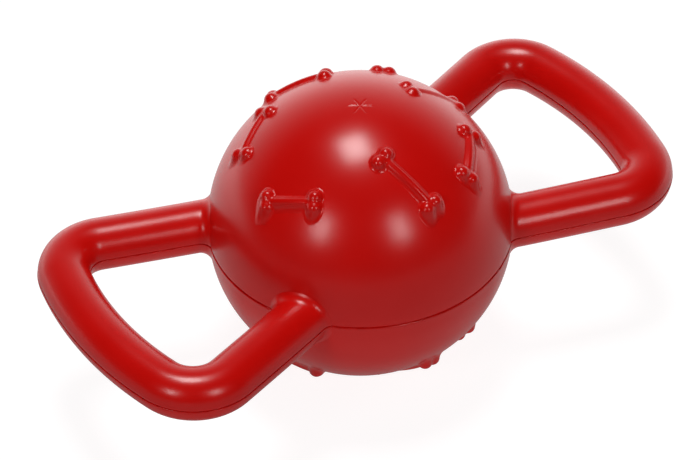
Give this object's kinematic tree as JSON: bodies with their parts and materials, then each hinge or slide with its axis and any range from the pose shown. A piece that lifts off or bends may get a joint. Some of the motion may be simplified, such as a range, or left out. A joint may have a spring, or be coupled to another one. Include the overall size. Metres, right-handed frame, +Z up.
{
  "type": "tug ball",
  "caption": "Hollow rubber tug ball with a loop handle on each side, a seam round its middle and raised bone shapes on both halves; a play and grip ball for pulling from either end.",
  "frame": {"origin": "centre of the ball, on the seam plane", "axes": "+X from the ball to the right handle, through the middle of both grips; the seam and both handles lie in the XY plane; +Z up, out of the half with the six-armed mark"},
  "size_m": [0.2666, 0.125, 0.125],
  "materials": {
    "ball_rubber": "deep red rubber with a fine matte, satin skin",
    "handle_rubber": "the same red rubber, smoother and glossier",
    "plug_gum": "soft tan gum, matte"
  },
  "bodies": {
    "root": {"upper_shell": "ball_rubber", "lower_shell": "ball_rubber", "left_handle": "handle_rubber", "right_handle": "handle_rubber", "needle_plug": "plug_gum"}
  },
  "joints": []
}
